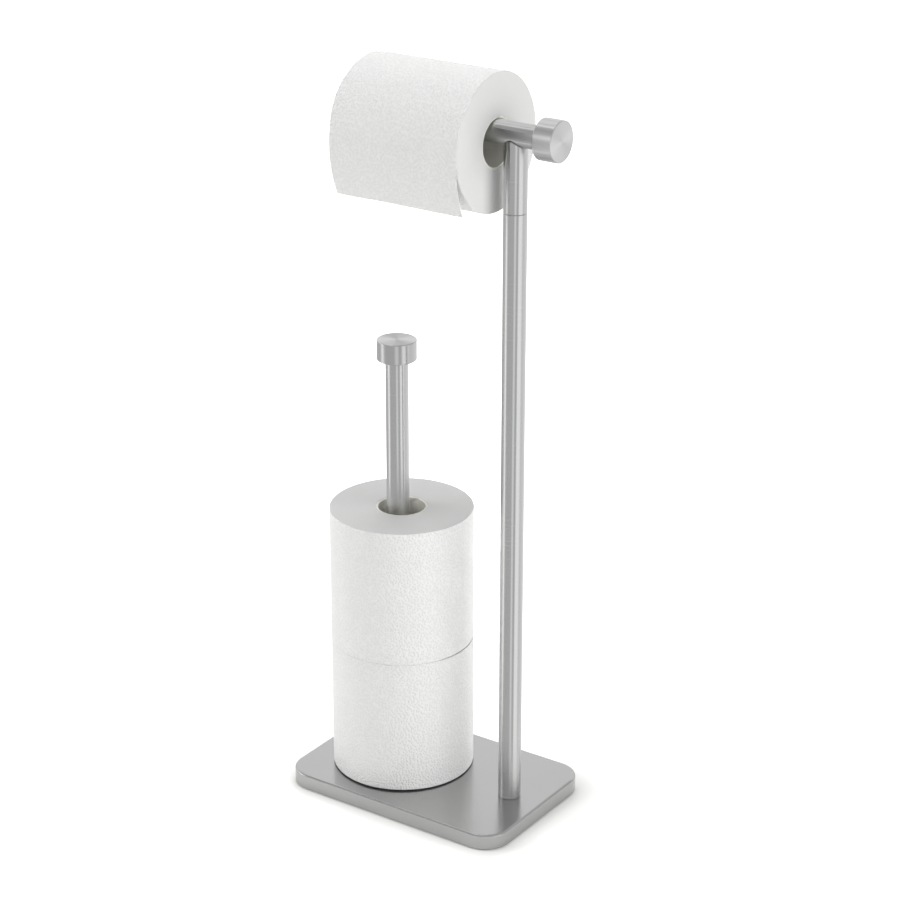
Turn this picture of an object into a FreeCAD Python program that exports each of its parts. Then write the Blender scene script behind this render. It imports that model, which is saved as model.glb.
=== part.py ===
import FreeCAD, Part
import math
import os

# A free-standing toilet roll holder: a weighted base plate, a tall post that ends in a horizontal arm
# for the roll in use, and a shorter post beside it for spare rolls. Millimetres, +Z up. The origin is on
# the floor under the centre of the base, +X runs along the base to the tall post, and -Y is the front.

# Base plate
plate_length = 200.0
plate_depth = 133.0
plate_corner_radius = 21.5
cover_height = 12.0
cover_wall = 1.0
cover_edge_radius = 1.6
pad_thickness = 2.0
pad_standing_proud = 1.0  # how far the pad reaches below the cover's rim

# Tube of both posts and the arm
tube_diameter = 17.6
tube_wall = 1.2
tube_end_chamfer = 0.4  # on the tube ends that meet at the tall post's seam or stand on the plate
saddle_line_width = 0.65  # open line left round the arm where the post's top takes it
saddle_line_depth = 0.7

# Where the posts stand, and how high they reach above the plate
tall_post_to_plate_end = 29.0
post_spacing = 105.0
arm_height = 530.0  # to the arm's centre line
arm_stub_length = 57.0  # from the seam to the arm's centre line
reserve_height = 356.5  # to the top of the reserve post's cap

# End caps of the arm and the reserve post
cap_diameter = 30.5
cap_length = 15.8
cap_edge_radius = 0.7
cap_socket_depth = 2.5  # how far a tube end goes into its cap
post_to_right_cap = 13.6  # free arm between the tall post and the right cap

# Threaded inserts, studs, screws and washers, with their threads as plain cylinders
insert_length = 22.0  # in the post ends
plug_length = 18.0  # in the tube ends that carry a cap
post_thread = 8.0
cap_thread = 6.0
joint_stud_length = 32.0
cap_stud_in_plug = 12.0
cap_stud_in_cap = 8.0
stud_end_chamfer = 0.6
screw_length = 25.0
screw_head_diameter = 14.0
screw_head_height = 4.4
screw_head_chamfer = 1.2
screw_socket_width = 5.0
screw_socket_depth = 2.6
screw_head_recess = 0.5  # how far the heads stay above the slab's underside
washer_diameter = 16.0
washer_thickness = 1.6

# Rolls
roll_width = 110.0
stored_roll_diameter = 112.0
hanging_roll_diameter = 102.6
roll_edge_radius = 1.0
hanging_core_bore = 35.5
stored_core_bore = 36.8
core_wall = 1.5
core_recess = 0.5  # how far the core's ends lie inside the paper's
tissue_thickness = 0.5
tail_start_angle = 50.0  # degrees above the roll's front where its last layer is taken to begin
tail_leave_angle = 10.0  # degrees above the roll's front where the tail comes away
tail_drop = 44.6  # from the roll's axis down to the tail's edge
tail_curl_radius = 87.0
lower_roll_shift_x = 1.8  # stored rolls stand loose on the post, a little off its axis
lower_roll_shift_y = 2.4
upper_roll_shift_x = 2.2
upper_roll_shift_y = 1.7
roll_to_post = 6.9  # between the hanging roll and the tall post
roll_to_left_cap = 3.0

# Clearances
weight_side_gap = 0.3
pad_side_gap = 0.4
insert_clearance = 0.05
thread_clearance = 0.05
screw_hole_clearance = 0.5
washer_hole_clearance = 0.3
counterbore_clearance = 1.0
socket_clearance = 0.1
stud_tip_clearance = 0.4
saddle_gap = 0.05  # between the coped stub and the arm
core_fit_gap = 0.05
tail_fit_gap = 0.05
roll_hang_gap = 0.3  # between the arm's top and the core that hangs on it
roll_stack_gap = 0.3  # under each stored roll

# Heights worked out from the values above
weight_bottom = pad_thickness
plate_top = pad_standing_proud + cover_height
cover_ceiling = plate_top - cover_wall
counterbore_depth = screw_head_recess + screw_head_height + washer_thickness
washer_seat = weight_bottom + counterbore_depth
arm_z = plate_top + arm_height
seam_z = arm_z - arm_stub_length
reserve_cap_bottom = plate_top + reserve_height - cap_length
reserve_tube_top = reserve_cap_bottom + cap_socket_depth

# Diameters and places worked out from the values above
tube_radius = tube_diameter / 2
tube_bore = tube_diameter - 2 * tube_wall
counterbore_diameter = washer_diameter + 2 * counterbore_clearance
tall_x = plate_length / 2 - tall_post_to_plate_end
reserve_x = tall_x - post_spacing
post_places = (tall_x, reserve_x)
roll_right = tall_x - tube_radius - roll_to_post
roll_left = roll_right - roll_width
left_cap_face = roll_left - roll_to_left_cap
right_cap_face = tall_x + tube_radius + post_to_right_cap
arm_left_end = left_cap_face - cap_socket_depth
arm_right_end = right_cap_face + cap_socket_depth
hanging_axis_z = arm_z + tube_radius + roll_hang_gap - hanging_core_bore / 2
tail_inner_radius = hanging_roll_diameter / 2 + tail_fit_gap
lower_roll_bottom = plate_top + roll_stack_gap
upper_roll_bottom = lower_roll_bottom + roll_width + roll_stack_gap

RIGHT = FreeCAD.Vector(1, 0, 0)
LEFT = FreeCAD.Vector(-1, 0, 0)
UP = FreeCAD.Vector(0, 0, 1)
DOWN = FreeCAD.Vector(0, 0, -1)
TOLERANCE = 0.001


def rod(diameter, length, start, along):
    return Part.makeCylinder(diameter / 2, length, start, along)


def pipe(diameter, bore, length, start, along):
    return rod(diameter, length, start, along).cut(rod(bore, length, start, along))


def rims(shape, diameter, centre):
    """The circular edges of this diameter round this centre."""
    found = []
    for edge in shape.Edges:
        curve = edge.Curve
        if not isinstance(curve, Part.Circle):
            continue
        same_size = abs(2 * curve.Radius - diameter) < TOLERANCE
        if same_size and (curve.Center - centre).Length < TOLERANCE:
            found.append(edge)
    return found


def rounded_plate(length, depth, corner_radius, bottom, top):
    corner = FreeCAD.Vector(-length / 2, -depth / 2, bottom)
    block = Part.makeBox(length, depth, top - bottom, corner)
    upright = [e for e in block.Edges if abs(e.tangentAt(e.FirstParameter).z) > 1 - TOLERANCE]
    return block.makeFillet(corner_radius, upright)


def inset_plate(inset, bottom, top):
    """A plate with the base's outline, drawn in by this much all round."""
    return rounded_plate(
        plate_length - 2 * inset,
        plate_depth - 2 * inset,
        plate_corner_radius - inset,
        bottom,
        top,
    )


def base_cover():
    outer = inset_plate(0, pad_standing_proud, plate_top)
    top_edges = [e for e in outer.Edges if e.BoundBox.ZMin > plate_top - TOLERANCE]
    shell = outer.makeFillet(cover_edge_radius, top_edges)
    shell = shell.cut(inset_plate(cover_wall, pad_standing_proud, cover_ceiling))
    hole = post_thread + 2 * screw_hole_clearance
    for x in post_places:
        shell = shell.cut(rod(hole, cover_wall, FreeCAD.Vector(x, 0, cover_ceiling), UP))
    return shell


def base_weight():
    slab = inset_plate(cover_wall + weight_side_gap, weight_bottom, cover_ceiling)
    hole = post_thread + 2 * screw_hole_clearance
    for x in post_places:
        foot = FreeCAD.Vector(x, 0, weight_bottom)
        slab = slab.cut(rod(hole, cover_ceiling - weight_bottom, foot, UP))
        slab = slab.cut(rod(counterbore_diameter, counterbore_depth, foot, UP))
    return slab


def base_pad():
    pad = inset_plate(cover_wall + pad_side_gap, 0, pad_thickness)
    for x in post_places:
        pad = pad.cut(rod(counterbore_diameter, pad_thickness, FreeCAD.Vector(x, 0, 0), UP))
    return pad


def hexagon_prism(width, height, start):
    corner_radius = width / math.sqrt(3)
    corners = []
    for side in range(7):
        angle = math.radians(60 * side)
        reach = FreeCAD.Vector(math.cos(angle), math.sin(angle), 0) * corner_radius
        corners.append(start + reach)
    return Part.Face(Part.makePolygon(corners)).extrude(UP * height)


def post_screw(x):
    head_top = washer_seat - washer_thickness
    head_foot = FreeCAD.Vector(x, 0, head_top - screw_head_height)
    head = rod(screw_head_diameter, screw_head_height, head_foot, UP)
    head = head.makeChamfer(screw_head_chamfer, rims(head, screw_head_diameter, head_foot))
    head = head.cut(hexagon_prism(screw_socket_width, screw_socket_depth, head_foot))
    tip = FreeCAD.Vector(x, 0, head_top + screw_length)
    shank = rod(post_thread, screw_length, FreeCAD.Vector(x, 0, head_top), UP)
    shank = shank.makeChamfer(stud_end_chamfer, rims(shank, post_thread, tip))
    return head.fuse(shank).removeSplitter()


def post_washer(x):
    foot = FreeCAD.Vector(x, 0, washer_seat - washer_thickness)
    hole = post_thread + 2 * washer_hole_clearance
    return pipe(washer_diameter, hole, washer_thickness, foot, UP)


def stud(thread, length, start, along):
    body = rod(thread, length, start, along)
    ends = rims(body, thread, start) + rims(body, thread, start + along * length)
    return body.makeChamfer(stud_end_chamfer, ends)


def threaded_insert(thread, length, start, along):
    """A sleeve that fills a tube's end and takes a thread."""
    return pipe(tube_bore - 2 * insert_clearance, thread + 2 * thread_clearance, length, start, along)


def tube(start, along, length, eased_ends=()):
    body = rod(tube_diameter, length, start, along)
    for end in eased_ends:
        body = body.makeChamfer(tube_end_chamfer, rims(body, tube_diameter, end))
    return body.cut(rod(tube_bore, length, start, along))


def tall_post():
    foot = FreeCAD.Vector(tall_x, 0, plate_top)
    seam = FreeCAD.Vector(tall_x, 0, seam_z)
    return tube(foot, UP, seam_z - plate_top, (foot, seam))


def arm_stub():
    """The upper length of the tall post, its top cut to the round of the arm with an open line outside."""
    seam = FreeCAD.Vector(tall_x, 0, seam_z)
    body = tube(seam, UP, arm_stub_length, (seam,))
    saddle_start = FreeCAD.Vector(tall_x - tube_diameter, 0, arm_z)
    saddle_length = 2 * tube_diameter
    body = body.cut(rod(tube_diameter + 2 * saddle_gap, saddle_length, saddle_start, RIGHT))
    skin_bore = tube_diameter - 2 * saddle_line_depth
    skin = pipe(2 * tube_diameter, skin_bore, arm_stub_length, seam, UP)
    near_arm = rod(tube_diameter + 2 * saddle_line_width, saddle_length, saddle_start, RIGHT)
    return body.cut(skin.common(near_arm))


def roll_arm():
    return tube(FreeCAD.Vector(arm_left_end, 0, arm_z), RIGHT, arm_right_end - arm_left_end)


def reserve_post():
    foot = FreeCAD.Vector(reserve_x, 0, plate_top)
    return tube(foot, UP, reserve_tube_top - plate_top, (foot,))


def end_cap(inner_face, outward):
    """A turned cap with a socket for the tube's end and a blind hole for its stud."""
    body = rod(cap_diameter, cap_length, inner_face, outward)
    edges = rims(body, cap_diameter, inner_face)
    edges += rims(body, cap_diameter, inner_face + outward * cap_length)
    body = body.makeFillet(cap_edge_radius, edges)
    seat = inner_face + outward * cap_socket_depth
    body = body.cut(rod(tube_diameter + 2 * socket_clearance, cap_socket_depth, inner_face, outward))
    hole_depth = cap_stud_in_cap + stud_tip_clearance
    return body.cut(rod(cap_thread + 2 * thread_clearance, hole_depth, seat, outward))


def cap_stud(tube_end, outward):
    start = tube_end - outward * cap_stud_in_plug
    return stud(cap_thread, cap_stud_in_plug + cap_stud_in_cap, start, outward)


def roll_paper(diameter, core_bore, start, along):
    hole = core_bore + 2 * core_wall + 2 * core_fit_gap
    body = rod(diameter, roll_width, start, along)
    edges = rims(body, diameter, start) + rims(body, diameter, start + along * roll_width)
    body = body.makeFillet(roll_edge_radius, edges)
    return body.cut(rod(hole, roll_width, start, along))


def roll_core(core_bore, start, along):
    inside = start + along * core_recess
    return pipe(core_bore + 2 * core_wall, core_bore, roll_width - 2 * core_recess, inside, along)


def around_roll(radius, angle):
    """A point at the hanging roll's left end, by its angle above the roll's front."""
    turn = math.radians(angle)
    height = hanging_axis_z + radius * math.sin(turn)
    return FreeCAD.Vector(roll_left, -radius * math.cos(turn), height)


def tail_hang(radius, share):
    """A point on the free end's curl, from 0 where it leaves the roll to 1 at the tail's edge."""
    leave = math.radians(tail_leave_angle)
    to_curl_centre = tail_curl_radius - tail_inner_radius
    fall = tail_drop - to_curl_centre * math.sin(leave)
    turn = share * (leave + math.asin(fall / tail_curl_radius)) - leave
    y = to_curl_centre * math.cos(leave) - radius * math.cos(turn)
    z = hanging_axis_z - to_curl_centre * math.sin(leave) - radius * math.sin(turn)
    return FreeCAD.Vector(roll_left, y, z)


def tail_wrap_arc(radius):
    angles = (tail_start_angle, (tail_start_angle + tail_leave_angle) / 2, tail_leave_angle)
    return Part.Arc(*[around_roll(radius, angle) for angle in angles])


def tail_hang_arc(radius):
    return Part.Arc(*[tail_hang(radius, share) for share in (0, 0.5, 1)])


def hanging_tail():
    """The last layer of the roll, laid on its front and hanging free below it with a slight curl."""
    outer_radius = tail_inner_radius + tissue_thickness
    outer_curl = tail_curl_radius + tissue_thickness
    start_edge = Part.LineSegment(
        around_roll(tail_inner_radius, tail_start_angle),
        around_roll(outer_radius, tail_start_angle),
    )
    free_edge = Part.LineSegment(tail_hang(tail_curl_radius, 1), tail_hang(outer_curl, 1))
    outline = (
        start_edge,
        tail_wrap_arc(tail_inner_radius),
        tail_hang_arc(tail_curl_radius),
        free_edge,
        tail_hang_arc(outer_curl),
        tail_wrap_arc(outer_radius),
    )
    wire = Part.Wire(Part.__sortEdges__([piece.toShape() for piece in outline]))
    return Part.Face(wire).extrude(RIGHT * roll_width)


def stand_nodes():
    tall_foot = FreeCAD.Vector(tall_x, 0, plate_top)
    seam = FreeCAD.Vector(tall_x, 0, seam_z)
    reserve_foot = FreeCAD.Vector(reserve_x, 0, plate_top)
    reserve_end = FreeCAD.Vector(reserve_x, 0, reserve_tube_top)
    left_end = FreeCAD.Vector(arm_left_end, 0, arm_z)
    right_end = FreeCAD.Vector(arm_right_end, 0, arm_z)
    stud_start = seam + DOWN * (joint_stud_length / 2)
    cap_studs = [cap_stud(left_end, LEFT), cap_stud(right_end, RIGHT), cap_stud(reserve_end, UP)]
    return {
        "base_cover": base_cover(),
        "base_weight": base_weight(),
        "base_pad": base_pad(),
        "post_screws": Part.makeCompound([post_screw(x) for x in post_places]),
        "post_washers": Part.makeCompound([post_washer(x) for x in post_places]),
        "tall_post": tall_post(),
        "tall_post_foot": threaded_insert(post_thread, insert_length, tall_foot, UP),
        "tall_post_head": threaded_insert(post_thread, insert_length, seam, DOWN),
        "joint_stud": stud(post_thread, joint_stud_length, stud_start, UP),
        "arm_stub": arm_stub(),
        "arm_stub_insert": threaded_insert(post_thread, insert_length, seam, UP),
        "roll_arm": roll_arm(),
        "arm_plug_left": threaded_insert(cap_thread, plug_length, left_end, RIGHT),
        "arm_plug_right": threaded_insert(cap_thread, plug_length, right_end, LEFT),
        "arm_cap_left": end_cap(FreeCAD.Vector(left_cap_face, 0, arm_z), LEFT),
        "arm_cap_right": end_cap(FreeCAD.Vector(right_cap_face, 0, arm_z), RIGHT),
        "reserve_post": reserve_post(),
        "reserve_post_foot": threaded_insert(post_thread, insert_length, reserve_foot, UP),
        "reserve_post_head": threaded_insert(cap_thread, plug_length, reserve_end, DOWN),
        "reserve_cap": end_cap(FreeCAD.Vector(reserve_x, 0, reserve_cap_bottom), UP),
        "cap_studs": Part.makeCompound(cap_studs),
    }


def roll_nodes():
    hanging = FreeCAD.Vector(roll_left, 0, hanging_axis_z)
    upper = FreeCAD.Vector(reserve_x + upper_roll_shift_x, upper_roll_shift_y, upper_roll_bottom)
    lower = FreeCAD.Vector(reserve_x + lower_roll_shift_x, lower_roll_shift_y, lower_roll_bottom)
    return {
        "hanging_roll_paper": roll_paper(hanging_roll_diameter, hanging_core_bore, hanging, RIGHT),
        "hanging_roll_core": roll_core(hanging_core_bore, hanging, RIGHT),
        "hanging_roll_tail": hanging_tail(),
        "upper_roll_paper": roll_paper(stored_roll_diameter, stored_core_bore, upper, UP),
        "upper_roll_core": roll_core(stored_core_bore, upper, UP),
        "lower_roll_paper": roll_paper(stored_roll_diameter, stored_core_bore, lower, UP),
        "lower_roll_core": roll_core(stored_core_bore, lower, UP),
    }


os.makedirs("parts", exist_ok=True)
for name, shape in {**stand_nodes(), **roll_nodes()}.items():
    shape.exportStep(f"parts/{name}.step")
    print(f"{name}: {len(shape.Solids)} solid(s), {shape.Volume / 1000:.2f} cm3, valid {shape.isValid()}")
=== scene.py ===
import math

import bpy
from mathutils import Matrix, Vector


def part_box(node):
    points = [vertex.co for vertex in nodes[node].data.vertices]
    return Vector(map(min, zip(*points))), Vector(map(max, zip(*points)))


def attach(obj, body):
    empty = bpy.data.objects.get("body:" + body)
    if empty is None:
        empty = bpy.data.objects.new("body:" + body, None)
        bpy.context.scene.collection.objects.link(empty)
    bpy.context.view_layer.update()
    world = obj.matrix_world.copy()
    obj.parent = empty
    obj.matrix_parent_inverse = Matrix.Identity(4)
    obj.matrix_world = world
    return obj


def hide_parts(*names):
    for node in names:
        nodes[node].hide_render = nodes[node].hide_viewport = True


# The looks of a free-standing toilet roll holder: satin steel posts, arm, caps and base plate, a roll in use
# on the arm, and two spare rolls on the reserve post. Metres, +Z up, -Y is the front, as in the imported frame.

# Free sheet of the roll in use, as its solid has it
TAIL_START_ANGLE = 50.0  # degrees above the roll's front
TAIL_LEAVE_ANGLE = 10.0
TAIL_DROP = 0.0446  # from the roll's axis down to the tail's edge
TAIL_CURL_RADIUS = 0.087
TAIL_THICKNESS = 0.0003
TAIL_SUNK_START = 0.0006  # how far the tail's hidden start lies in the roll
TAIL_SUNK_LENGTH = 0.014  # over which it comes up to the roll's outside
TAIL_CLEARANCE = 0.00005  # between the roll and the sheet laid on it
TAIL_COLUMNS = 220
TAIL_ROWS = 72
TAIL_RIPPLE = 0.00022
TAIL_TOOTH_DEPTH = 0.0005  # of its torn edge

# Wound paper: how far its rims are rounded, and how far its lower rims stand off what they rest on
HANGING_RIM_ROUNDING = 0.0011
STORED_RIM_ROUNDING = 0.0009
STANDING_RIM_ROUNDING = 0.0005
LOWER_RIM_LIFT = 0.0009
UPPER_RIM_LIFT = 0.0014
UPPER_RIM_LIFT_AZIMUTH = 125.0  # degrees round from the front where the upper roll stands open most
UPPER_RIM_LIFT_FALLOFF = 2.5  # how quickly it closes on either side of there
RIM_LIFT_STARTS = 0.6  # share of the radius from which the layers are drawn up
RIM_LIFT_HEIGHT = 0.02  # above the lower rim, up to which they are
ROLL_UNEVENNESS = 0.0004
UNEVENNESS_BREADTH = 0.028
UNEVENNESS_MIDDLE = 0.6  # level of the unevenness at which the paper stays in place
ROLL_FACETS = 288
ROLL_SIDE_CUTS = 90
ROLL_END_CUTS = 14
RIM_SEGMENTS = 6
SMOOTHING_ANGLE = math.radians(50)

# Finishes: tone, roughness and how strongly a turned or drawn piece is brushed, and how close patterns lie
TUBE_FINISH = (0.6, 0.26, 1.0)
ARM_CAP_FINISH = (0.66, 0.3, 0.9)
# The reserve cap is the same turned cap as the arm's, its tone set lower as painted shade
RESERVE_CAP_PAINTED_SHADE_FINISH = (0.56, 0.3, 0.9)
PLATE_TONES = (0.44, 0.54)
BRUSH_LINES_PER_METRE = 2600.0
STIPPLE_PER_METRE = 470.0
LAYERS_PER_METRE = 2300.0
CORE_STRIPS_PER_METRE = 14.0

# Studio: azimuths are degrees round from the front, towards the right
CAMERA_AZIMUTH = 34.514
CAMERA_PITCH = 21.94
CAMERA_PLACE = (0.99474, -1.42535, 0.98752)
CAMERA_LENS = 99.05  # millimetres, as is the sensor
CAMERA_SENSOR = 36

AMBIENT_LIGHT = 0.255
FLOOR_COLOUR = (0.88, 0.885, 0.865, 1)
PLATE_CORNER_RADIUS = 0.0215
FLOOR_GLOW = 0.45  # what the camera sees added to the floor beside the base
PAINTED_SHADOW_REACH = 0.011  # how much further the glow is held back at the right of the base, painting the shadow's reach there
PAINTED_SHADOW_TOWARDS = (0.824, 0.566)  # to the camera's right
PAINTED_SHADOW_SIDE = (0.05, 0.12)  # from where to where, towards there, the painted shadow's reach grows
NEAR_GLOW = (-0.012, 0.034)  # distances from the base over which each glow sets in
FAR_GLOW = (0.06, 0.7)
MIRRORED_FLOOR = (0.03, 0.07)  # distances over which the metal stops seeing the floor
FLOOR_SIZE = 40
SOFTBOX_DISTANCE = 2.2
SOFTBOX_AIM = Vector((0, 0, 0.3))
# Each softbox: name, azimuth from the camera and elevation in degrees, width and height, power in watts
SOFTBOXES = (
    ("left_softbox", -90, 12, (1.3, 1.3), 22),
    ("right_front_softbox", 30, 12, (1.3, 1.3), 10.5),
    ("right_softbox", 63, 12, (1.6, 1.3), 27.5),
    ("back_right_softbox", 150, 12, (1.3, 1.3), 8),
    ("back_left_softbox", -120, 45, (1.3, 1.3), 8.5),
    ("back_softbox", 180, 45, (1.3, 1.3), 15),
    ("top_softbox", 0, 88, (1.3, 1.3), 15.5),
)
# What the metal shows of the studio: a plain level all round, and lighter or darker panels before it.
# Each panel: where it begins and ends round from the camera, its lowest and highest elevation, its level.
STUDIO_LEVEL = 0.62
PANEL_SOFTNESS = 7.0  # degrees over which a panel's edges fade
STUDIO_PANELS = (
    ("left_strip", -98, -81, -50, 5, 1.45),
    ("left_reflector", -140, -74, 6, 23, 2.2),
    ("left_flag", -142, -52, 30, 58, 0.42),
    ("back_left_reflector", -180, -142, 38, 62, 1.15),
    ("top_reflector", -125, -92, 62, 90, 2.4),
    ("camera_strip", -9, 10, -50, 5, 1.05),
    ("right_panel", 31, 72, -50, 5, 1.35),
    ("far_right_panel", 72, 180, -31, -13, 1.2),
    ("back_wall", 120, 240, 11, 33, 1.12),
)

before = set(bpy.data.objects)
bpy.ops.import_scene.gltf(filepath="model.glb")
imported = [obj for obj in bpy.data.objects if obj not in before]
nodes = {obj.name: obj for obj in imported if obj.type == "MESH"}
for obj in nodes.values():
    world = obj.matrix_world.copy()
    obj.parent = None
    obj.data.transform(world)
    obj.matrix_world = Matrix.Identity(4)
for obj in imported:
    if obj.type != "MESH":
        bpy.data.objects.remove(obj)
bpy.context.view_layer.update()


class Nodes:
    """A node tree in the making."""

    def __init__(self, tree):
        self.tree = tree

    def feed(self, socket, value):
        if isinstance(value, bpy.types.NodeSocket):
            self.tree.links.new(value, socket)
        else:
            socket.default_value = value

    def node(self, kind, inputs, output=0, **settings):
        """Adds a node, sets and links its inputs, and returns one of its outputs."""
        made = self.tree.nodes.new("ShaderNode" + kind)
        for name, value in settings.items():
            setattr(made, name, value)
        for name, value in inputs.items():
            self.feed(made.inputs[name], value)
        return made.outputs[output] if output is not None else made

    def math(self, operation, first, second=0.0):
        return self.node("Math", {0: first, 1: second}, operation=operation)

    def spread(self, value, low, high, from_low=0.0, from_high=1.0, ease="LINEAR"):
        """Maps a value to another range."""
        limits = {"From Min": from_low, "From Max": from_high, "To Min": low, "To Max": high}
        return self.node("MapRange", {"Value": value, **limits}, interpolation_type=ease)


class Finish(Nodes):
    """A procedural material in the making: its nodes, and the shader that they feed."""

    def __init__(self, name):
        self.material = bpy.data.materials.new(name)
        self.material.use_nodes = True
        super().__init__(self.material.node_tree)
        self.shader = self.tree.nodes["Principled BSDF"]

    def set(self, **sockets):
        for name, value in sockets.items():
            self.feed(self.shader.inputs[name.replace("_", " ")], value)

    def place(self, scale=(1, 1, 1), centre=(0, 0, 0)):
        """Object coordinates, moved so that a centre is the origin, then stretched."""
        where = self.node("TexCoord", {}, "Object")
        moved = self.node("VectorMath", {0: where, 1: centre}, operation="SUBTRACT")
        return self.node("VectorMath", {0: moved, 1: scale}, operation="MULTIPLY")

    def tones(self, share, dark, light):
        inputs = {"Factor": share, "A": (*dark, 1), "B": (*light, 1)}
        return self.node("Mix", inputs, "Result", data_type="RGBA")

    def bump(self, height, strength, distance):
        inputs = {"Height": height, "Strength": strength, "Distance": distance}
        return self.node("Bump", inputs, "Normal")

    def radial(self, offset, axis):
        """How far a place lies from an axis through the origin."""
        flat = tuple(0.0 if letter == axis else 1.0 for letter in "XYZ")
        across = self.node("VectorMath", {0: offset, 1: flat}, operation="MULTIPLY")
        return self.node("VectorMath", {0: across}, "Value", operation="LENGTH")


def grey(level):
    return (level, level, level)


def turned_steel(name, axis, centre, tone, roughness, brushed):
    """Satin steel of a tube or cap, brushed round its axis, so that its highlights run along it."""
    steel = Finish(name)
    offset = steel.place(centre=centre)
    axial = steel.node("SeparateXYZ", {"Vector": offset}, axis)
    radial = steel.radial(offset, axis)
    line = steel.math("MULTIPLY", steel.math("ADD", axial, radial), BRUSH_LINES_PER_METRE)
    scratch = steel.node("TexNoise", {"W": line, "Scale": 1.0, "Detail": 3.0}, noise_dimensions="1D")
    cloud = steel.node("TexNoise", {"Vector": offset, "Scale": 14.0, "Detail": 3.0})
    shade = steel.math("ADD", steel.math("MULTIPLY", scratch, 0.6), steel.math("MULTIPLY", cloud, 0.4))
    steel.set(
        Base_Color=steel.tones(shade, grey(tone - 0.05), grey(tone + 0.05)),
        Metallic=1.0,
        Roughness=steel.spread(shade, roughness - 0.04, roughness + 0.04),
        Anisotropic=brushed,
        Anisotropic_Rotation=0.25,
        Tangent=steel.node("Tangent", {}, direction_type="RADIAL", axis=axis),
        Normal=steel.bump(scratch, 0.05, 0.0001),
    )
    return steel.material


def plate_steel():
    """Satin steel of the base plate, with fine hairlines along its length."""
    steel = Finish("plate_satin_steel")
    along = steel.place((40, BRUSH_LINES_PER_METRE, BRUSH_LINES_PER_METRE))
    hairline = steel.node("TexNoise", {"Vector": along, "Scale": 1.0, "Detail": 3.0})
    cloud = steel.node("TexNoise", {"Vector": steel.place(), "Scale": 16.0, "Detail": 4.0})
    shade = steel.math("ADD", steel.math("MULTIPLY", hairline, 0.6), steel.math("MULTIPLY", cloud, 0.4))
    steel.set(
        Base_Color=steel.tones(shade, *map(grey, PLATE_TONES)),
        Metallic=1.0,
        Roughness=steel.spread(shade, 0.17, 0.25),
        Normal=steel.bump(hairline, 0.06, 0.0001),
    )
    return steel.material


def plated_fastener_steel():
    steel = Finish("plated_fastener_steel")
    cloud = steel.node("TexNoise", {"Vector": steel.place(), "Scale": 220.0, "Detail": 4.0})
    steel.set(
        Base_Color=steel.tones(cloud, (0.42, 0.43, 0.45), (0.6, 0.61, 0.62)),
        Metallic=1.0,
        Roughness=steel.spread(cloud, 0.28, 0.48),
        Normal=steel.bump(cloud, 0.08, 0.0001),
    )
    return steel.material


def cast_ballast():
    iron = Finish("cast_ballast")
    grain = iron.node("TexNoise", {"Vector": iron.place(), "Scale": 900.0, "Detail": 5.0})
    patch = iron.node("TexNoise", {"Vector": iron.place(), "Scale": 45.0, "Detail": 3.0})
    iron.set(
        Base_Color=iron.tones(patch, (0.06, 0.06, 0.062), (0.13, 0.13, 0.135)),
        Metallic=0.6,
        Roughness=iron.spread(grain, 0.55, 0.8),
        Normal=iron.bump(grain, 0.4, 0.0003),
    )
    return iron.material


def pad_rubber():
    """Black anti-slip rubber with a close pattern of small knobs."""
    rubber = Finish("pad_rubber")
    knob = rubber.node(
        "TexVoronoi", {"Vector": rubber.place(), "Scale": 520.0, "Randomness": 0.15}, "Distance"
    )
    dust = rubber.node("TexNoise", {"Vector": rubber.place(), "Scale": 60.0, "Detail": 4.0})
    rubber.set(
        Base_Color=rubber.tones(dust, grey(0.012), grey(0.03)),
        Roughness=rubber.spread(dust, 0.7, 0.9),
        Normal=rubber.bump(rubber.spread(knob, 1.0, 0.0, 0.1, 0.6), 0.5, 0.0005),
    )
    return rubber.material


def core_board(name, axis, centre):
    """Greyish board of a roll's core: a strip wound in a spiral, whose edges show as fine lines."""
    board = Finish(name)
    offset = board.place(centre=centre)
    order = "YZX" if axis == "X" else "XYZ"
    parts = board.node("SeparateXYZ", {"Vector": offset}, None).outputs
    turn = board.math("DIVIDE", board.math("ARCTAN2", parts[order[1]], parts[order[0]]), math.tau)
    along = board.math("MULTIPLY", parts[order[2]], CORE_STRIPS_PER_METRE)
    strip = board.math("FRACT", board.math("ADD", turn, along))
    to_edge = board.math("ABSOLUTE", board.math("SUBTRACT", strip, 0.5))
    edge = board.spread(to_edge, 0.0, 1.0, 0.47, 0.5)
    fibre = board.node("TexNoise", {"Vector": offset, "Scale": 420.0, "Detail": 6.0})
    stain = board.node("TexNoise", {"Vector": offset, "Scale": 60.0, "Detail": 3.0})
    tone = board.math("ADD", board.math("MULTIPLY", fibre, 0.5), board.math("MULTIPLY", stain, 0.5))
    plain = board.tones(tone, (0.7, 0.695, 0.64), (0.87, 0.865, 0.8))
    lined = board.node(
        "Mix",
        {"Factor": board.math("MULTIPLY", edge, 0.5), "A": plain, "B": (0.36, 0.34, 0.28, 1)},
        "Result",
        data_type="RGBA",
    )
    height = board.math("SUBTRACT", board.math("MULTIPLY", fibre, 0.3), edge)
    board.set(Base_Color=lined, Roughness=0.85, Normal=board.bump(height, 0.35, 0.0003))
    return board.material


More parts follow.
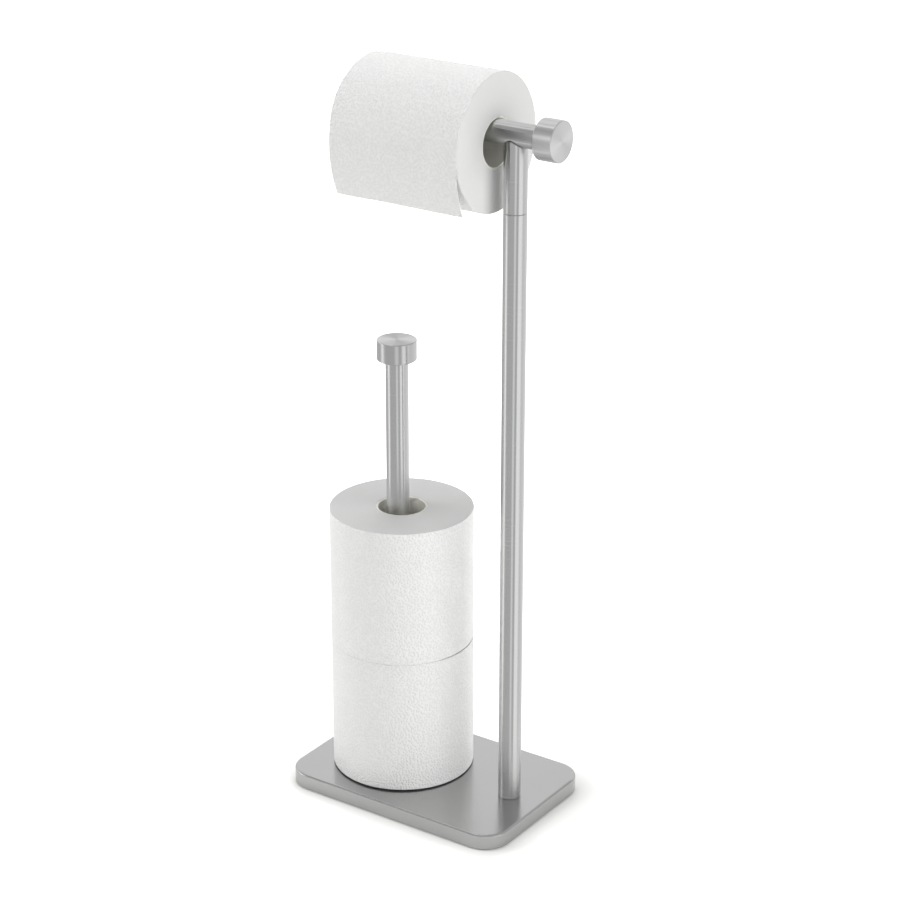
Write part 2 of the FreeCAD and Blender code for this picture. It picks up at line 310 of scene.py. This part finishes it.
def embossed_tissue():
    """White tissue with a close random stipple pressed into it and painted darker in its dimples as shade, laid
    along the paper by its UV map.
    """
    tissue = Finish("embossed_tissue")
    laid = tissue.node("UVMap", {}, uv_map="paper")
    waver = tissue.node("TexNoise", {"Vector": laid, "Scale": 160.0, "Detail": 2.0}, "Color")
    shifted = tissue.node("VectorMath", {0: waver, 1: (0.5, 0.5, 0.5)}, operation="SUBTRACT")
    nudge = tissue.node("VectorMath", {0: shifted, "Scale": 0.0022}, operation="SCALE")
    where = tissue.node("VectorMath", {0: laid, 1: nudge}, operation="ADD")
    spots = {"Vector": where, "Scale": STIPPLE_PER_METRE, "Randomness": 0.95}
    stipple = tissue.node("TexVoronoi", spots, "Distance", voronoi_dimensions="2D")
    dimple_depth_and_painted_shade = tissue.spread(stipple, 0.0, 1.0, 0.12, 0.5)
    fibre = tissue.node("TexNoise", {"Vector": laid, "Scale": 2400.0, "Detail": 4.0})
    sheet_tone = tissue.node("TexNoise", {"Vector": laid, "Scale": 45.0, "Detail": 3.0})
    # the dimples' centres are toned darker: painted shade in the pressed stipple, mixed with the sheet's own
    # random tone
    shade = tissue.math("ADD", tissue.math("MULTIPLY", dimple_depth_and_painted_shade, 0.7), tissue.math("MULTIPLY", sheet_tone, 0.3))
    height = tissue.math("ADD", dimple_depth_and_painted_shade, tissue.math("MULTIPLY", fibre, 0.18))
    tissue.set(
        Base_Color=tissue.tones(shade, (0.8, 0.8, 0.795), (0.87, 0.87, 0.865)),
        Roughness=tissue.spread(fibre, 0.82, 0.97),
        Specular_IOR_Level=0.25,
        Normal=tissue.bump(height, 0.7, 0.0005),
    )
    return tissue.material


def cut_tissue(name, axis, centre):
    """The cut ends of the wound layers: fine rings round the core, toned darker than the sheet as painted shade
    for the fine shadows of the cut layers.
    """
    ends = Finish(name)
    offset = ends.place(centre=centre)
    radial = ends.radial(offset, axis)
    waver = ends.node("TexNoise", {"Vector": offset, "Scale": 55.0, "Detail": 3.0})
    reach = ends.math("ADD", radial, ends.math("MULTIPLY", waver, 0.0012))
    rings = {"W": ends.math("MULTIPLY", reach, LAYERS_PER_METRE), "Scale": 1.0, "Detail": 2.0}
    layers = ends.node("TexNoise", rings, noise_dimensions="1D")
    fluff = ends.node("TexNoise", {"Vector": offset, "Scale": 1500.0, "Detail": 4.0})
    shade = ends.math("ADD", ends.math("MULTIPLY", layers, 0.6), ends.math("MULTIPLY", fluff, 0.4))
    ends.set(
        # the tone below the sheet's is painted shade of the cut ends; the rings are the layers' own
        Base_Color=ends.tones(shade, (0.56, 0.56, 0.556), (0.67, 0.67, 0.666)),
        Roughness=0.95,
        Specular_IOR_Level=0.15,
        Normal=ends.bump(shade, 0.35, 0.0004),
    )
    return ends.material


def middle_of(low, high):
    return (low + high) / 2


def dress(names, material):
    for name in names:
        nodes[name].data.materials.clear()
        nodes[name].data.materials.append(material)


def only_selected(piece, kind, wanted):
    """Opens a piece in edit mode with only those of its edges or faces selected that pass a test."""
    bpy.ops.object.mode_set(mode="OBJECT")
    mesh = piece.data
    for group in (mesh.vertices, mesh.edges, mesh.polygons):
        group.foreach_set("select", [False] * len(group))
    if kind == "FACE":
        for face in mesh.polygons:
            face.select = wanted(face.center, face.normal)
    else:
        for edge in mesh.edges:
            ends = [mesh.vertices[index].co for index in edge.vertices]
            edge.select = wanted(*ends)
    bpy.context.tool_settings.mesh_select_mode = (False, kind == "EDGE", kind == "FACE")
    bpy.ops.object.mode_set(mode="EDIT")


def from_axis(point):
    return math.hypot(point.x, point.y)


def apply_modifiers(piece):
    for modifier in list(piece.modifiers):
        bpy.ops.object.modifier_apply(modifier=modifier.name)


def lay_uv_map(piece, flat_place):
    """Gives a piece the UV map that the tissue's stipple follows, in metres along the paper."""
    mesh = piece.data
    layer = mesh.uv_layers.new(name="paper")
    for face in mesh.polygons:
        for loop in face.loop_indices:
            layer.data[loop].uv = flat_place(mesh.vertices[mesh.loops[loop].vertex_index].co, face)


def wound_paper(name, node, core_node, axis, body, side, ends, roundings, lift=None):
    """A roll's paper: soft rims, an open middle for the core and slightly uneven layers."""
    low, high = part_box(node)
    core_low, core_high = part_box(core_node)
    middle = middle_of(low, high)
    width = high.x - low.x if axis == "X" else high.z - low.z
    radius = (high.y - low.y) / 2
    bore = (core_high.y - core_low.y) / 2
    end = width / 2
    bpy.ops.object.select_all(action="DESELECT")
    size = {"vertices": ROLL_FACETS, "radius": radius, "depth": width}
    bpy.ops.mesh.primitive_cylinder_add(**size, end_fill_type="NGON")
    roll = bpy.context.object
    roll.name = name

    only_selected(roll, "FACE", lambda centre, normal: abs(normal.z) > 0.9)
    bpy.ops.mesh.inset(thickness=radius - bore)
    bpy.ops.mesh.bridge_edge_loops()

    def on_outside(a, b):
        return min(from_axis(a), from_axis(b)) > radius * 0.99

    for level, rounding in zip((-end, end), roundings):
        only_selected(roll, "EDGE", lambda a, b: on_outside(a, b) and abs(a.z + b.z - 2 * level) < 1e-4)
        bpy.ops.mesh.bevel(offset=rounding, segments=RIM_SEGMENTS, profile=0.5)
    only_selected(roll, "EDGE", lambda a, b: on_outside(a, b) and abs(a.z - b.z) > end)
    bpy.ops.mesh.subdivide(number_cuts=ROLL_SIDE_CUTS)
    only_selected(roll, "EDGE", lambda a, b: abs(from_axis(a) - from_axis(b)) > radius / 4)
    bpy.ops.mesh.subdivide(number_cuts=ROLL_END_CUTS)
    bpy.ops.object.mode_set(mode="OBJECT")

    roll.data.materials.append(side)
    roll.data.materials.append(ends)
    for face in roll.data.polygons:
        face.material_index = 1 if abs(face.normal.z) > 0.75 else 0
    outside = roll.vertex_groups.new(name="outside")
    outermost = [point.index for point in roll.data.vertices if from_axis(point.co) > radius * 0.999]
    outside.add(outermost, 1.0, "REPLACE")

    def around(point, face):
        middle_angle = math.atan2(face.center.y, face.center.x)
        angle = math.atan2(point.y, point.x)
        if angle - middle_angle > math.pi:
            angle -= math.tau
        if middle_angle - angle > math.pi:
            angle += math.tau
        return (angle * radius + middle.x, point.z + middle.z)

    lay_uv_map(roll, around)
    if axis == "X":
        roll.rotation_euler = (0, math.pi / 2, 0)
    roll.location = middle
    bpy.ops.object.transform_apply(location=True, rotation=True, scale=True)
    if lift is not None:
        raise_lower_rim(roll, middle, radius, end, lift)
    unevenness = bpy.data.textures.new(name + "_unevenness", "CLOUDS")
    unevenness.noise_scale = UNEVENNESS_BREADTH
    swell = roll.modifiers.new("uneven_layers", "DISPLACE")
    swell.texture = unevenness
    swell.strength = ROLL_UNEVENNESS
    swell.mid_level = UNEVENNESS_MIDDLE
    swell.vertex_group = outside.name
    apply_modifiers(roll)
    bpy.ops.object.shade_smooth_by_angle(angle=SMOOTHING_ANGLE)
    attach(roll, body)
    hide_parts(node)
    return roll


def raise_lower_rim(roll, middle, radius, end, lift):
    """Draws a standing roll's outer layers up a little, so that its lower rim stands off what it rests on."""
    for vertex in roll.data.vertices:
        out = vertex.co - middle
        outward = max(0.0, from_axis(out) / radius - RIM_LIFT_STARTS) / (1 - RIM_LIFT_STARTS)
        low_down = max(0.0, 1 - (out.z + end) / RIM_LIFT_HEIGHT)
        azimuth = math.degrees(math.atan2(out.x, -out.y))
        vertex.co.z += lift(azimuth) * outward**2 * low_down


def even_lift(azimuth):
    return LOWER_RIM_LIFT * (0.9 + 0.1 * math.sin(math.radians(3 * azimuth)))


def one_sided_lift(azimuth):
    share = max(0.0, math.cos(math.radians(azimuth - UPPER_RIM_LIFT_AZIMUTH)))
    return UPPER_RIM_LIFT * share**UPPER_RIM_LIFT_FALLOFF


def tail_path(down, roll_radius):
    """Where the tail is at a length along it, forward of and above the roll's axis, and its outward turn."""
    leave = math.radians(TAIL_LEAVE_ANGLE)
    laid = math.radians(TAIL_START_ANGLE) - leave
    if down < laid * roll_radius:
        turn = -(leave + laid - down / roll_radius)
        sunk = TAIL_SUNK_START * max(0.0, 1 - down / TAIL_SUNK_LENGTH)
        reach = roll_radius - sunk
        return reach * math.cos(turn), -reach * math.sin(turn), turn
    turn = (down - laid * roll_radius) / TAIL_CURL_RADIUS - leave
    to_centre = TAIL_CURL_RADIUS - roll_radius
    forward = TAIL_CURL_RADIUS * math.cos(turn) - to_centre * math.cos(leave)
    above = -TAIL_CURL_RADIUS * math.sin(turn) - to_centre * math.sin(leave)
    return forward, above, turn


def tail_length(roll_radius):
    leave = math.radians(TAIL_LEAVE_ANGLE)
    laid = math.radians(TAIL_START_ANGLE) - leave
    fall = TAIL_DROP - (TAIL_CURL_RADIUS - roll_radius) * math.sin(leave)
    return laid * roll_radius + (leave + math.asin(fall / TAIL_CURL_RADIUS)) * TAIL_CURL_RADIUS


def tail_waves(across, down):
    """Slow waves across the tail, and finer, weaker ones at a slant."""
    return math.sin(across * 9.0 + 0.6) + 0.5 * math.sin(across * 17.0 + down * 60.0)


def hanging_tail(tissue):
    """The free sheet of the roll in use: laid on its front, then hanging clear, torn at its edge."""
    low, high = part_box("hanging_roll_paper")
    width = high.x - low.x
    roll_radius = (high.z - low.z) / 2 + TAIL_CLEARANCE
    axis_height = (high.z + low.z) / 2
    length = tail_length(roll_radius)
    hang_start = math.radians(TAIL_START_ANGLE - TAIL_LEAVE_ANGLE) * roll_radius
    bpy.ops.object.select_all(action="DESELECT")
    bpy.ops.mesh.primitive_grid_add(x_subdivisions=TAIL_COLUMNS, y_subdivisions=TAIL_ROWS, size=1)
    tail = bpy.context.object
    tail.name = "hanging_roll_free_sheet"
    lay_uv_map(tail, lambda point, face: (point.x * width, point.y * length))
    for vertex in tail.data.vertices:
        across = vertex.co.x + 0.5
        down = (0.5 - vertex.co.y) * length
        if vertex.co.y < -0.499 and round(across * TAIL_COLUMNS) % 4 > 1:
            down -= TAIL_TOOTH_DEPTH
        loose = max(0.0, (down - hang_start) / (length - hang_start))
        lift = loose * loose * TAIL_RIPPLE * tail_waves(across, down)
        forward, above, turn = tail_path(down, roll_radius)
        forward += lift * math.cos(turn)
        above -= lift * math.sin(turn)
        vertex.co = Vector((low.x + across * width, -forward, axis_height + above))
    bpy.ops.object.mode_set(mode="EDIT")
    bpy.ops.mesh.select_all(action="SELECT")
    bpy.ops.mesh.normals_make_consistent(inside=False)
    bpy.ops.object.mode_set(mode="OBJECT")
    if tail.data.polygons[0].normal.y > 0:
        tail.data.flip_normals()
    thickness = tail.modifiers.new("thickness", "SOLIDIFY")
    thickness.thickness = TAIL_THICKNESS
    thickness.offset = 1.0
    apply_modifiers(tail)
    bpy.ops.object.shade_smooth_by_angle(angle=SMOOTHING_ANGLE)
    tail.data.materials.append(tissue)
    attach(tail, "hanging_roll")
    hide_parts("hanging_roll_tail")


def steel_pieces():
    tall = middle_of(*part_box("tall_post"))
    reserve = middle_of(*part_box("reserve_post"))
    arm = middle_of(*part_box("roll_arm"))
    dress(["tall_post", "arm_stub"], turned_steel("tall_post_satin_steel", "Z", tall, *TUBE_FINISH))
    dress(["reserve_post"], turned_steel("reserve_post_satin_steel", "Z", reserve, *TUBE_FINISH))
    # the reserve cap's lower tone is painted shade
    dress(["reserve_cap"], turned_steel("reserve_cap_turned_steel_painted_shade", "Z", reserve, *RESERVE_CAP_PAINTED_SHADE_FINISH))
    dress(["roll_arm"], turned_steel("arm_satin_steel", "X", arm, *TUBE_FINISH))
    arm_caps = turned_steel("arm_cap_turned_steel", "X", arm, *ARM_CAP_FINISH)
    dress(["arm_cap_left", "arm_cap_right"], arm_caps)
    dress(["base_cover"], plate_steel())
    dress(["base_weight"], cast_ballast())
    dress(["base_pad"], pad_rubber())
    fasteners = ["post_screws", "post_washers", "joint_stud", "cap_studs"]
    tall_inserts = ["tall_post_foot", "tall_post_head", "arm_stub_insert"]
    other_inserts = ["reserve_post_foot", "reserve_post_head", "arm_plug_left", "arm_plug_right"]
    dress(fasteners + tall_inserts + other_inserts, plated_fastener_steel())


def rolls():
    tissue = embossed_tissue()
    hanging_rims = (HANGING_RIM_ROUNDING, HANGING_RIM_ROUNDING)
    upper_rims = (STANDING_RIM_ROUNDING, STORED_RIM_ROUNDING)
    lower_rims = (STANDING_RIM_ROUNDING, STANDING_RIM_ROUNDING)
    kinds = (
        ("hanging", "X", hanging_rims, None),
        ("upper", "Z", upper_rims, one_sided_lift),
        ("lower", "Z", lower_rims, even_lift),
    )
    for place, axis, rims, lift in kinds:
        body = place + "_roll"
        paper, core = body + "_paper", body + "_core"
        centre = middle_of(*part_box(core))
        dress([core], core_board(core + "_board", axis, centre))
        ends = cut_tissue(body + "_cut_layers", axis, centre)
        roll = wound_paper(body + "_wound_paper", paper, core, axis, body, tissue, ends, rims, lift)
        if place == "hanging":
            hanging_tail(tissue)
            roll.visible_glossy = False  # the arm's streaks run on to the core without mirroring the paper


def camera():
    bpy.ops.object.camera_add(location=CAMERA_PLACE)
    view = bpy.context.object
    view.rotation_euler = (math.radians(90 - CAMERA_PITCH), 0, math.radians(CAMERA_AZIMUTH))
    view.data.lens = CAMERA_LENS
    view.data.sensor_width = CAMERA_SENSOR
    bpy.context.scene.camera = view


def softbox(name, azimuth, elevation, size, power):
    """A soft lamp aimed at the middle of the holder. The metal shows the studio's panels in its place."""
    turn, lift = math.radians(CAMERA_AZIMUTH + azimuth), math.radians(elevation)
    away = Vector((math.sin(turn) * math.cos(lift), -math.cos(turn) * math.cos(lift), math.sin(lift)))
    bpy.ops.object.light_add(type="AREA", location=SOFTBOX_AIM + away * SOFTBOX_DISTANCE)
    lamp = bpy.context.object
    lamp.name = name
    lamp.rotation_euler = away.to_track_quat("Z", "Y").to_euler()
    lamp.data.shape = "RECTANGLE"
    lamp.data.size, lamp.data.size_y = size
    lamp.data.energy = power
    lamp.visible_glossy = False


def floor():
    """A white floor that keeps the holder's shadow, its reach partly painted, turning plain white to the camera
    further out.

    Metal sees it close to the base only, and sees the studio's panels everywhere else.
    """
    bpy.ops.mesh.primitive_plane_add(size=FLOOR_SIZE)
    ground = bpy.context.object
    ground.name = "studio_floor"
    white = Finish("studio_floor")
    parts = white.node("SeparateXYZ", {"Vector": white.place()}, None).outputs
    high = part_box("base_cover")[1]
    squares = []
    for letter, reach in (("X", high.x), ("Y", high.y)):
        from_middle = white.math("ABSOLUTE", parts[letter])
        past_straight = white.math("SUBTRACT", from_middle, reach - PLATE_CORNER_RADIUS)
        squares.append(white.math("POWER", white.math("MAXIMUM", past_straight, 0.0), 2.0))
    from_corner = white.math("SQRT", white.math("ADD", *squares))
    beyond = white.math("SUBTRACT", from_corner, PLATE_CORNER_RADIUS)
    seen = white.node("LightPath", {}, "Is Camera Ray")
    mirrored = white.node("LightPath", {}, "Is Glossy Ray")
    # the lamps cast the floor's shadow; holding the glow back further at the base's right paints how far that
    # shadow reaches
    rightward = [white.math("MULTIPLY", parts[letter], share) for letter, share in zip("XY", PAINTED_SHADOW_TOWARDS)]
    painted_shadow_side = white.spread(white.math("ADD", *rightward), 0.0, PAINTED_SHADOW_REACH, *PAINTED_SHADOW_SIDE, "SMOOTHSTEP")
    out_of_painted_shadow = white.math("SUBTRACT", beyond, painted_shadow_side)
    near_glow = white.spread(out_of_painted_shadow, 0.0, FLOOR_GLOW, *NEAR_GLOW, "SMOOTHSTEP")
    far_glow = white.spread(beyond, 0.0, 1.0 - FLOOR_GLOW, *FAR_GLOW)
    glow = white.math("MULTIPLY", seen, white.math("ADD", near_glow, far_glow))
    far_off = white.math("MULTIPLY", mirrored, white.spread(beyond, 0.0, 1.0, *MIRRORED_FLOOR))
    white.set(Base_Color=FLOOR_COLOUR, Roughness=1.0, Specular_IOR_Level=0.0)
    white.set(Emission_Color=(1, 1, 1, 1), Emission_Strength=glow)
    clear = white.node("BsdfTransparent", {})
    shown = white.node("MixShader", {0: far_off, 1: white.shader.outputs[0], 2: clear})
    white.feed(white.tree.nodes["Material Output"].inputs["Surface"], shown)
    ground.data.materials.append(white.material)


def panel_share(world, angle, height, begins, ends, lowest, highest):
    """How far a direction lies inside a panel, from 0 outside it to 1, with soft edges."""
    from_middle = world.math("SUBTRACT", angle, (begins + ends) / 2)
    around = world.node("Math", {0: from_middle, 1: 180.0, 2: -180.0}, operation="WRAP")
    above = world.math("SUBTRACT", height, (lowest + highest) / 2)
    shares = []
    for offset, breadth in ((around, ends - begins), (above, highest - lowest)):
        inner, outer = (breadth - PANEL_SOFTNESS) / 2, (breadth + PANEL_SOFTNESS) / 2
        shares.append(world.spread(world.math("ABSOLUTE", offset), 1.0, 0.0, inner, outer))
    return world.math("MULTIPLY", *shares)


def studio():
    """Plain soft light from all round, a white background, and the panels that the metal shows."""
    surroundings = bpy.data.worlds.new("studio")
    bpy.context.scene.world = surroundings
    surroundings.use_nodes = True
    world = Nodes(surroundings.node_tree)
    world.tree.nodes.clear()
    towards = world.node("TexCoord", {}, "Generated")
    facing_camera = math.radians(90 - CAMERA_AZIMUTH)
    turned = world.node("Mapping", {"Vector": towards, "Rotation": (0, 0, facing_camera)})
    turn = world.node("TexGradient", {"Vector": turned}, "Fac", gradient_type="RADIAL")
    angle = world.spread(turn, -180.0, 180.0)
    rise = world.node("SeparateXYZ", {"Vector": towards}, "Z")
    height = world.math("MULTIPLY", world.math("ARCSINE", rise), math.degrees(1))
    level = STUDIO_LEVEL
    for name, begins, ends, lowest, highest, panel_level in STUDIO_PANELS:
        share = panel_share(world, angle, height, begins, ends, lowest, highest)
        inputs = {"Factor": share, "A": level, "B": panel_level}
        level = world.node("Mix", inputs, "Result", data_type="FLOAT", label=name)
    in_metal = world.node("LightPath", {}, "Is Glossy Ray")
    seen = world.node("LightPath", {}, "Is Camera Ray")
    ambient = world.node("Background", {"Color": (1, 1, 1, 1), "Strength": AMBIENT_LIGHT})
    mirrored = world.node("Background", {"Color": (1, 1, 1, 1), "Strength": level})
    backdrop = world.node("Background", {"Color": (1, 1, 1, 1), "Strength": 1.0})
    lit = world.node("MixShader", {0: in_metal, 1: ambient, 2: mirrored})
    shown = world.node("MixShader", {0: seen, 1: lit, 2: backdrop})
    world.node("OutputWorld", {"Surface": shown}, output=None)


steel_pieces()
rolls()
floor()
studio()
for softbox_place in SOFTBOXES:
    softbox(*softbox_place)
camera()
bpy.context.scene.view_settings.view_transform = "Standard"
